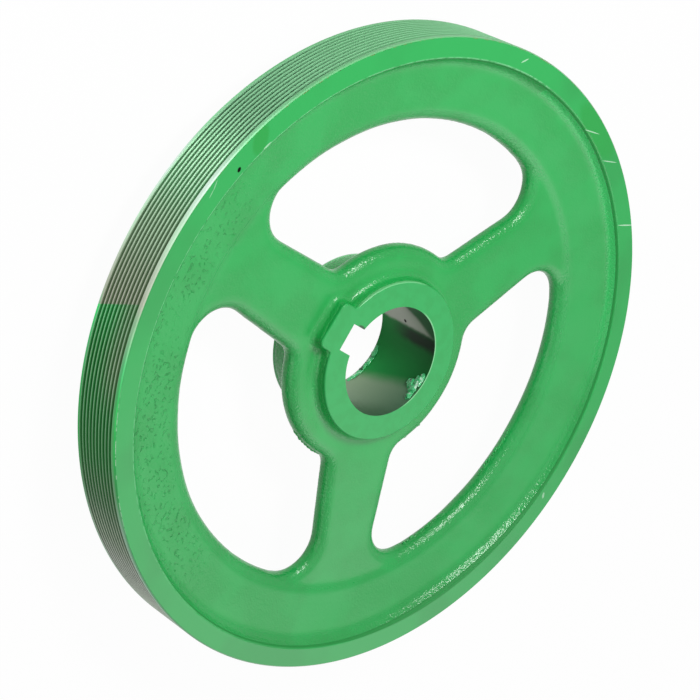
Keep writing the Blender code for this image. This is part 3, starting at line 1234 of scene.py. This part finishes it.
@dataclass
class CastWeb:
    """The as-cast middle: coned ring, three arms, hub disc, hub walls and the keyway lug."""

    sizes: PulleySizes
    arms: tuple[Arm, ...] = (
        Arm(math.radians(-92.6), 38.2 * MM, 31.7 * MM),
        Arm(math.radians(26.9), 38.2 * MM, 31.0 * MM),
        Arm(math.radians(147.4), 38.2 * MM, 31.9 * MM),
    )
    front_recess: float = 4.5 * MM
    back_recess: float = 5.7 * MM
    recess_fillet: float = 3.0 * MM
    recess_start: float = 0.4
    ring_slope: float = math.radians(8.0)
    ring_edge_run: float = 8.5 * MM
    disc_fillet: float = 8.0 * MM
    ring_fillet: float = 15.0 * MM
    edge_run: float = 6.0 * MM
    back_fullness: float = 0.6
    seat_radius: float = 139.4 * MM
    foot_sink: float = 0.2 * MM
    end_gap: float = 0.5 * MM
    hub_foot_fillet: float = 3.2 * MM
    hub_hollow: float = 33.6 * MM
    hollow_start: float = 1.0 * MM
    hub_proud: float = 0.12 * MM
    lug_draft: float = math.radians(4.0)
    lug_foot: float = 2.0 * MM
    lug_fillet: float = 2.6 * MM
    lug_levels: int = 12
    lug_fade: Point = (20.0, 30.0)
    grain: float = 1.25 * MM
    smoothing: int = 5
    swell: float = 0.16 * MM
    swell_size: float = 17.0 * MM

    def recess_profile(self, depth: float, web_depth: float) -> list[Point]:
        """List one face's section from below the land to the ring's inner edge.

        Args:
            depth: The recess's depth below the land.
            web_depth: Depth of the ring's widest plane below the land.

        Returns:
            Radius and depth of each point.
        """
        fillet, draft, land = self.recess_fillet, self.sizes.wall_draft, self.sizes.land_inner
        slope = math.tan(draft)
        start = self.sizes.seam_depth * self.recess_start
        centre_depth = depth - fillet * math.cos(self.ring_slope)
        foot = land - (centre_depth + fillet * math.sin(draft)) * slope
        centre = (foot - fillet * math.cos(draft), centre_depth)
        points = [(self.seat_radius, start), (land - start * slope, start)]
        points += arc(centre, (fillet, fillet), draft, math.pi / 2 - self.ring_slope - draft, steps=8)
        foot_radius, foot_depth = points[-1]
        edge_radius = self.sizes.ring_inner + self.ring_edge_run
        edge_depth = foot_depth + (foot_radius - edge_radius) * math.tan(self.ring_slope)
        half_axes = (self.ring_edge_run, web_depth - edge_depth)
        return points + arc((edge_radius, web_depth), half_axes, -math.pi / 2, -math.pi / 2, steps=10)

    def ring_body(self) -> BMesh:
        """Spin the coned ring with its recess walls.

        Returns:
            The closed ring.
        """
        top, bottom, middle = self.sizes.rim_front, self.sizes.rim_back, self.sizes.web_middle
        front = self.recess_profile(self.front_recess, top - middle)
        back = self.recess_profile(self.back_recess, middle - bottom)
        section = [(radius, top - depth) for radius, depth in front[:-1]]
        section += [(radius, bottom + depth) for radius, depth in back[::-1]]
        body = spun(section, RING_FACETS)
        self.sizes.drift_recess(body)
        return body

    def arm_side(self, arm: Arm, way: float) -> list[Point]:
        """List one side of an arm that points along +X, from hub disc to ring.

        Args:
            arm: The arm's widths.
            way: One for the left side, minus one for the right side.

        Returns:
            The points, which lie inside the arm's widest section by the edge run.
        """
        half_disc, half_ring = arm.disc_width / 2, arm.ring_width / 2
        taper = math.atan2(half_disc - half_ring, self.sizes.ring_inner - self.sizes.disc_radius)
        normal = (math.sin(taper), math.cos(taper))
        offset = normal[0] * self.sizes.disc_radius + normal[1] * half_disc
        side_angle = math.atan2(-normal[1], -normal[0])

        def fillet_centre(distance: float, radius: float) -> Point:
            """Return the centre that touches the side and lies at a distance from the axis.

            Args:
                distance: The centre's distance from the axis.
                radius: The fillet's radius.

            Returns:
                The centre.
            """
            across = offset + radius
            along = math.sqrt(distance ** 2 - across ** 2)
            return (across * normal[0] + along * normal[1], across * normal[1] - along * normal[0])

        disc_centre = fillet_centre(self.sizes.disc_radius + self.disc_fillet, self.disc_fillet)
        ring_centre = fillet_centre(self.sizes.ring_inner - self.ring_fillet, self.ring_fillet)
        to_axis = math.atan2(-disc_centre[1], -disc_centre[0])
        to_ring = math.atan2(ring_centre[1], ring_centre[0])
        disc_arc, ring_arc = self.disc_fillet + self.edge_run, self.ring_fillet + self.edge_run
        points = arc(disc_centre, (disc_arc, disc_arc), to_axis, side_angle - to_axis, steps=10)
        points += arc(ring_centre, (ring_arc, ring_arc), side_angle, to_ring - side_angle, steps=12)
        anchor = self.sizes.ring_inner + self.ring_edge_run
        points.append((anchor * math.cos(to_ring), anchor * math.sin(to_ring)))
        return [(x, y * way) for x, y in points]

    def web_outline(self) -> list[Point]:
        """List the closed outline of the hub disc and its arms, anticlockwise.

        Returns:
            The points.
        """
        outline: list[Point] = []
        radius = self.sizes.disc_radius - self.edge_run
        for arm, following in zip(self.arms, self.arms[1:] + self.arms[:1]):
            right, left = self.arm_side(arm, -1.0), self.arm_side(arm, 1.0)
            outline += turned(right + left[::-1], arm.azimuth)
            next_right = self.arm_side(following, -1.0)[0]
            start = arm.azimuth + math.atan2(left[0][1], left[0][0])
            stop = following.azimuth + math.atan2(next_right[1], next_right[0])
            outline += arc((0.0, 0.0), (radius, radius), start, (stop - start) % math.tau, steps=16)[1:-1]
        return outline

    def hollowed(self, name: str, body: BMesh) -> BMesh:
        """Clear the middle of a shell with a round tool, to make room for the hub core.

        Args:
            name: The shell's name.
            body: The shell, which is used up.

        Returns:
            The open shell.
        """
        shell = as_object(name, body)
        cut_with(shell, as_object("hub_hole", drum(self.hub_hollow, self.hollow_start, self.sizes.rim_front)))
        return as_body(shell)

    def web_body(self) -> BMesh:
        """Fill the web's outline and give it soft front edges and fuller back ones.

        Returns:
            The closed shell.
        """
        body = filled_plate(self.web_outline(), 2 * self.edge_run, self.edge_run, steps=7, offset=0.0)
        half = (self.sizes.web_front - self.sizes.web_back) / 2
        for vertex in body.verts:
            share = min(abs(vertex.co.z) / self.edge_run, 1.0)
            height = share if vertex.co.z > 0 else -(share ** self.back_fullness)
            vertex.co.z = self.sizes.web_middle + half * height
        return self.hollowed("web_plate", body)

    def hub_body(self) -> BMesh:
        """Spin the cast walls of boss and barrel with the fillets at their feet.

        Returns:
            The closed shell.
        """
        fillet, inner = self.hub_foot_fillet, self.hub_hollow
        boss = self.sizes.boss_radius + self.hub_proud
        barrel = self.sizes.barrel_radius + self.hub_proud
        top = self.sizes.boss_front - self.end_gap
        front_foot = (boss + fillet, self.sizes.web_front - self.foot_sink + fillet)
        back_foot = (barrel + fillet, self.sizes.web_back + self.foot_sink - fillet)
        section = [(inner, top), (boss, top)]
        section += arc(front_foot, (fillet, fillet), math.pi, math.pi / 2, steps=6)
        section += arc(back_foot, (fillet, fillet), math.pi / 2, math.pi / 2, steps=6)
        return spun(section + [(barrel, self.end_gap), (inner, self.end_gap)], HUB_FACETS)

    def lug_spread(self, height: float) -> float:
        """Return how far the lug's walls stand out at a height, from draft and foot fillet.

        Args:
            height: The height.

        Returns:
            The distance, in metres.
        """
        spread = (self.sizes.boss_front - height) * math.tan(self.lug_draft)
        fillet_top = self.sizes.web_front + self.lug_foot
        if height < fillet_top:
            across = min(fillet_top - height, self.lug_foot)
            spread += self.lug_foot - math.sqrt(self.lug_foot ** 2 - across ** 2)
        return spread

    def lug_body(self) -> BMesh:
        """Raise the cast walls of boss and lug from their outline, with draft and a flared foot.

        Returns:
            The closed shell.
        """
        foot, top = self.sizes.web_front - self.foot_sink, self.sizes.boss_front - self.end_gap
        outline = BossOutline(self.sizes, near_fillet=self.lug_fillet).points()
        body = bmesh.new()
        sole = body.faces.new([body.verts.new((x, y, foot)) for x, y in outline])
        raised = bmesh.ops.extrude_face_region(body, geom=[sole], use_keep_orig=True)["geom"]
        lifted = [item for item in raised if isinstance(item, bmesh.types.BMVert)]
        bmesh.ops.translate(body, verts=lifted, vec=(0.0, 0.0, top - foot))
        for step in range(1, self.lug_levels):
            everything = body.verts[:] + body.edges[:] + body.faces[:]
            level = (0.0, 0.0, foot + (top - foot) * step / self.lug_levels)
            bmesh.ops.bisect_plane(body, geom=everything, plane_co=level, plane_no=(0.0, 0.0, 1.0))
        bmesh.ops.recalc_face_normals(body, faces=body.faces)
        shifts = []
        for vertex in body.verts:
            outward = Vector((vertex.normal.x, vertex.normal.y, 0.0)).normalized()
            from_lug = angle_between(polar(vertex.co)[1], math.degrees(self.sizes.lug_azimuth))
            share = 1.0 - smooth_step(from_lug, *self.lug_fade)
            shifts.append(outward * (self.lug_spread(vertex.co.z) * share + self.hub_proud))
        for vertex, shift in zip(body.verts, shifts):
            vertex.co += shift
        return self.hollowed("lug_walls", body)

    def roughen(self, mesh: Mesh) -> None:
        """Let the skin swell and sink a little, as a sand mould leaves it.

        Args:
            mesh: The remeshed skin.
        """
        skin = bmesh.new()
        skin.from_mesh(mesh)
        for vertex in skin.verts:
            vertex.co += vertex.normal * (noise.noise(vertex.co / self.swell_size) * self.swell)
        skin.to_mesh(mesh)
        skin.free()

    def build(self) -> Object:
        """Join the shells into one skin with natural fillets.

        Returns:
            The cast web.
        """
        whole = bmesh.new()
        for shell in (self.ring_body(), self.web_body(), self.hub_body(), self.lug_body()):
            mesh = bpy.data.meshes.new("shell")
            shell.to_mesh(mesh)
            shell.free()
            whole.from_mesh(mesh)
            bpy.data.meshes.remove(mesh)
        piece = as_object("cast_web", whole)
        remesh = piece.modifiers.new("skin", "REMESH")
        remesh.mode = "VOXEL"
        remesh.voxel_size = self.grain
        soften = piece.modifiers.new("soften", "SMOOTH")
        soften.factor = 0.5
        soften.iterations = self.smoothing
        baked(piece, math.pi)
        self.roughen(piece.data)
        return piece

    def dress(self, piece: Object) -> None:
        """Give the casting its enamel."""
        piece.data.materials.append(CastEnamel().material())


@dataclass
class HubCore:
    """The machined core of the hub: its two end faces, the bore and the keyway."""

    sizes: PulleySizes
    plate: float = 2.4 * MM
    neck_radius: float = 34.6 * MM
    neck_gap: float = 0.4 * MM
    outer_edge: float = 0.60 * MM
    inner_edge: float = 0.25 * MM
    inner_edge_angle: float = math.radians(50.0)
    overrun: float = 2.0 * MM
    finish_margin: float = 0.1 * MM
    upright_normal: float = 0.3

    def end_plates(self) -> list[Object]:
        """Make the faced ends: the boss with its lug in front, and the barrel's round end behind.

        Returns:
            The two plates.
        """
        barrel = self.sizes.barrel_radius
        ring = arc((0.0, 0.0), (barrel, barrel), 0.0, math.tau, HUB_FACETS)[:-1]
        middles = (self.sizes.boss_front - self.plate / 2, self.plate / 2)
        plates = []
        for outline, middle in zip((BossOutline(self.sizes).points(), ring), middles):
            body = filled_plate(outline, self.plate, self.outer_edge, steps=2, offset=-self.outer_edge)
            bmesh.ops.translate(body, verts=body.verts, vec=(0.0, 0.0, middle))
            plates.append(as_object("end_plate", body))
        return plates

    def keyway(self) -> Object:
        """Make the block that the broach clears, from the axis to the keyway's bottom.

        Returns:
            The block.
        """
        bottom, top = self.sizes.keyway_bottom, self.sizes.boss_front
        size = Matrix.Diagonal((bottom, self.sizes.keyway_width, top + 2 * self.overrun, 1.0))
        place = Matrix.Translation((bottom / 2, 0.0, top / 2))
        turn = Matrix.Rotation(self.sizes.keyway_azimuth, 4, "Z")
        body = bmesh.new()
        bmesh.ops.create_cube(body, size=1.0, matrix=turn @ place @ size)
        return as_object("keyway", body)

    def build(self) -> Object:
        """Join the faced ends to the core, bore and broach it, and ease the edges.

        Returns:
            The hub core.
        """
        top = self.sizes.boss_front
        piece = as_object("hub_core", drum(self.neck_radius, self.neck_gap, top - self.neck_gap))
        for end in self.end_plates():
            cut_with(piece, end, "UNION")
        cut_with(piece, as_object("reamer", drum(self.sizes.bore_radius, -self.overrun, top + self.overrun)))
        cut_with(piece, self.keyway())
        ease = piece.modifiers.new("ease", "BEVEL")
        ease.width = self.inner_edge
        ease.segments = 2
        ease.limit_method = "ANGLE"
        ease.angle_limit = self.inner_edge_angle
        return keep_planes_flat(baked(piece))

    def dress(self, piece: Object) -> None:
        """Give the faces their enamel, and bore and keyway their own finish.

        Args:
            piece: The hub core.
        """
        piece.data.materials.append(HubEnamel().material())
        piece.data.materials.append(BoreFinish().material())
        reach = self.sizes.keyway_bottom - self.finish_margin
        for face in piece.data.polygons:
            inside = math.hypot(face.center.x, face.center.y) < reach
            face.material_index = int(inside and abs(face.normal.z) < self.upright_normal)


@dataclass(frozen=True)
class Lump:
    """One blob in millimetres: azimuth in degrees, radius and height of its middle, half sizes."""

    azimuth: float
    radius: float
    height: float
    half_radial: float
    half_round: float
    half_high: float


@dataclass(frozen=True)
class RaggedEdge:
    """A stretch of torn edge in millimetres, from azimuth to azimuth in degrees.

    The blobs' chances are shares of the edge's size, and of each blob's own size for its flatness,
    length, thickness and the gap to the next one.
    """

    start: float
    stop: float
    radius: float
    height: float
    size: float
    blob_size: Point = (0.5, 1.3)
    stray_radial: Point = (-0.25, 0.25)
    stray_high: Point = (-0.8, 0.8)
    flatness: float = 0.7
    length: Point = (0.9, 2.0)
    thickness: Point = (0.7, 1.3)
    gap: Point = (1.0, 2.6)

    def lumps(self, chance: random.Random) -> list[Lump]:
        """Scatter small blobs along the edge, spaced and sized by chance.

        Args:
            chance: The source of their spacing and sizes.

        Returns:
            The blobs.
        """
        found, azimuth = [], self.start
        while azimuth < self.stop:
            size = self.size * chance.uniform(*self.blob_size)
            radius = self.radius + chance.uniform(*self.stray_radial) * self.size
            height = self.height + chance.uniform(*self.stray_high) * self.size
            half_round, half_high = (size * chance.uniform(*share) for share in (self.length, self.thickness))
            found.append(Lump(azimuth, radius, height, size * self.flatness, half_round, half_high))
            azimuth += math.degrees(size * chance.uniform(*self.gap) / self.radius)
        return found


@dataclass
class Blobs:
    """Paint lumps or mould flash that lie on the casting, made as one crumpled skin."""

    name: str
    lumps: tuple[Lump, ...]
    edges: tuple[RaggedEdge, ...]
    finish: CastEnamel | PaintSkin
    detail: int
    seed: int = 4
    fold: float = 1.2 * MM
    fold_depth: float = 0.38
    small_fold: float = 0.45
    small_depth: float = 0.5
    sharp_angle: float = math.radians(60.0)

    def crumple(self, place: Vector) -> float:
        """Return how far the skin stands out or in at a place, as a share of the blob's size.

        Args:
            place: The place on the smooth blob.

        Returns:
            The share, below zero where it stands in.
        """
        small = noise.noise(place / (self.fold * self.small_fold))
        return self.fold_depth * (noise.noise(place / self.fold) + self.small_depth * small)

    def build(self) -> Object:
        """Crumple one ball for each blob and set it in its place.

        Returns:
            The blobs.
        """
        chance = random.Random(self.seed)
        everything = list(self.lumps)
        for edge in self.edges:
            everything += edge.lumps(chance)
        body = bmesh.new()
        for lump in everything:
            turn = Matrix.Rotation(math.radians(lump.azimuth), 4, "Z")
            size = Matrix.Diagonal((lump.half_radial * MM, lump.half_round * MM, lump.half_high * MM, 1.0))
            place = Matrix.Translation((lump.radius * MM, 0.0, lump.height * MM))
            ball = bmesh.ops.create_icosphere(body, subdivisions=self.detail, radius=1.0, matrix=turn @ place @ size)
            middle = (turn @ place).translation
            for vertex in ball["verts"]:
                vertex.co = middle + (vertex.co - middle) * (1.0 + self.crumple(vertex.co))
        return as_object(self.name, body, self.sharp_angle)

    def dress(self, piece: Object) -> None:
        """Give the blobs their finish."""
        piece.data.materials.append(self.finish.material())


def paint_lumps() -> Blobs:
    """Describe the thick paint: a lump under the bore's front edge and torn skin on its rear one.

    Returns:
        The paint lumps.
    """
    return Blobs(
        "paint_lumps",
        lumps=(
            Lump(68.5, 24.9, 34.0, 1.0, 2.3, 1.7),
            Lump(76.5, 24.8, 33.3, 1.2, 2.6, 2.3),
            Lump(86.0, 24.8, 33.6, 1.2, 3.0, 2.1),
            Lump(81.5, 24.9, 30.6, 1.1, 2.6, 2.7),
            Lump(92.0, 25.0, 34.4, 0.8, 1.8, 1.3),
            Lump(56.0, 25.2, 1.5, 0.5, 3.4, 1.0),
            Lump(68.0, 25.1, 1.6, 0.6, 3.8, 1.2),
            Lump(80.0, 25.1, 1.7, 0.6, 3.6, 1.3),
            Lump(91.0, 25.1, 1.7, 0.6, 3.2, 1.3),
        ),
        edges=(RaggedEdge(58.0, 97.0, 25.0, 1.6, 0.6),),
        finish=PaintSkin(), detail=5, fold=2.0 * MM,
    )


def mould_flash() -> Blobs:
    """Describe the torn metal that the mould's parting line left on the hub disc and the ring.

    Returns:
        The mould flash.
    """
    return Blobs(
        "mould_flash",
        lumps=(Lump(68.5, 50.9, 25.6, 1.1, 1.3, 1.2), Lump(60.0, 51.4, 24.8, 1.3, 1.6, 0.8)),
        edges=(
            RaggedEdge(-22.0, 2.0, 50.5, 25.0, 0.8),
            RaggedEdge(49.0, 62.0, 106.9, 25.2, 0.7),
            RaggedEdge(76.0, 90.0, 106.9, 25.2, 0.7),
        ),
        finish=CastEnamel(name="gloss enamel on mould flash"), detail=3, seed=9,
    )


@dataclass(frozen=True)
class Softbox:
    """One oval softbox: where it hangs round the pulley, how far, how large and how strong."""

    name: str
    azimuth: float
    elevation: float
    distance: float
    width: float
    height: float
    watts: float
    aim_height: float = 30.0 * MM

    def hang(self) -> None:
        """Hang the lamp and aim it at the pulley."""
        turn, rise = math.radians(self.azimuth), math.radians(self.elevation)
        flat = math.cos(rise)
        direction = Vector((math.cos(turn) * flat, math.sin(turn) * flat, math.sin(rise)))
        lamp = bpy.data.lights.new(self.name, "AREA")
        lamp.shape = "ELLIPSE"
        lamp.size = self.width
        lamp.size_y = self.height
        lamp.energy = self.watts
        stand = bpy.data.objects.new(self.name, lamp)
        stand.location = Vector((0.0, 0.0, self.aim_height)) + direction * self.distance
        stand.rotation_euler = direction.to_track_quat("Z", "Y").to_euler()
        bpy.context.scene.collection.objects.link(stand)


@dataclass
class Studio:
    """Plain floor, soft lamps and the camera at the photograph's viewing angle."""

    floor_reach: float = 6.0
    floor_white: str = "#F2F2F2"
    floor_glow: float = 0.97
    sky_white: str = "#FFFFFF"
    sky_strength: float = 0.17
    boxes: tuple[Softbox, ...] = (
        Softbox("key_lamp", -150.0, 50.0, 0.62, 0.20, 0.20, 2.5),
        Softbox("far_panel", 57.0, 43.0, 0.90, 0.85, 0.55, 1.85),
        Softbox("top_panel", 0.0, 86.0, 0.90, 0.80, 0.80, 0.85),
        Softbox("fill_panel", -44.0, 34.0, 0.90, 0.50, 0.50, 0.75),
    )
    camera_place: tuple[float, float, float] = (-0.0002, -0.7447, 0.7119)
    camera_turn: tuple[float, float, float] = (-27.74, -39.27, 129.37)
    lens: float = 119.08
    sensor: float = 36.0
    near_clip: float = 0.01

    def set_world(self) -> None:
        """Light the room evenly, and show it white to the camera, reflections and refractions."""
        world = bpy.data.worlds.new("studio")
        bpy.context.scene.world = world
        world.use_nodes = True
        tree = world.node_tree
        seen = seen_by(tree, "Camera", "Glossy", "Transmission")
        strength = add_node(tree, "MapRange", {}, {"Value": seen, "To Min": self.sky_strength, "To Max": 1.0})
        sky = tree.nodes["Background"].inputs
        tree.links.new(strength, sky["Strength"])
        sky["Color"].default_value = to_linear(self.sky_white)

    def floor_material(self) -> Material:
        """Build the white paper floor, which keeps a faint shadow.

        Returns:
            The floor's material.
        """
        material = bpy.data.materials.new("white studio floor")
        material.use_nodes = True
        tree = material.node_tree
        tree.nodes.remove(tree.nodes["Principled BSDF"])
        share = joined(tree, ALL, seen_by(tree, "Camera", "Glossy"), self.floor_glow)
        paper = add_node(tree, "BsdfDiffuse", {}, {"Color": to_linear(self.floor_white)})
        glow = add_node(tree, "Emission", {}, {"Strength": 1.0})
        mixed = add_node(tree, "MixShader", {}, {0: share, 1: paper, 2: glow})
        tree.links.new(mixed, tree.nodes["Material Output"].inputs["Surface"])
        return material

    def set_floor(self) -> None:
        """Lay the floor under the hub's rear end."""
        body = bmesh.new()
        bmesh.ops.create_grid(body, x_segments=1, y_segments=1, size=self.floor_reach)
        floor = as_object("studio_floor", body)
        floor.data.materials.append(self.floor_material())

    def set_camera(self) -> None:
        """Place the camera that looks as the photograph's did."""
        lens = bpy.data.cameras.new("camera")
        lens.lens = self.lens
        lens.sensor_width = self.sensor
        lens.clip_start = self.near_clip
        camera = bpy.data.objects.new("camera", lens)
        camera.location = self.camera_place
        camera.rotation_euler = Euler([math.radians(turn) for turn in self.camera_turn])
        bpy.context.scene.collection.objects.link(camera)
        bpy.context.scene.camera = camera

    def build(self) -> None:
        """Set the whole studio."""
        bpy.context.scene.view_settings.view_transform = "Standard"
        self.set_world()
        self.set_floor()
        for box in self.boxes:
            box.hang()
        self.set_camera()


def mount(piece: Object) -> None:
    """Hang a piece on the pulley's one body and report it.

    Args:
        piece: The finished piece.
    """
    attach(piece, "root")
    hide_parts(CAD_NODE)
    triangles = sum(len(face.vertices) - 2 for face in piece.data.polygons)
    LOG.info("%s: %d triangles", piece.name, triangles)


def main() -> None:
    """Build and dress the pulley in its studio."""
    logging.basicConfig(level=logging.INFO, format="%(name)s: %(message)s")
    sizes = PulleySizes()
    Studio().build()
    for part in (TurnedRim(sizes), CastWeb(sizes), HubCore(sizes), paint_lumps(), mould_flash()):
        piece = part.build()
        part.dress(piece)
        mount(piece)


if __name__ == "__main__":
    main()
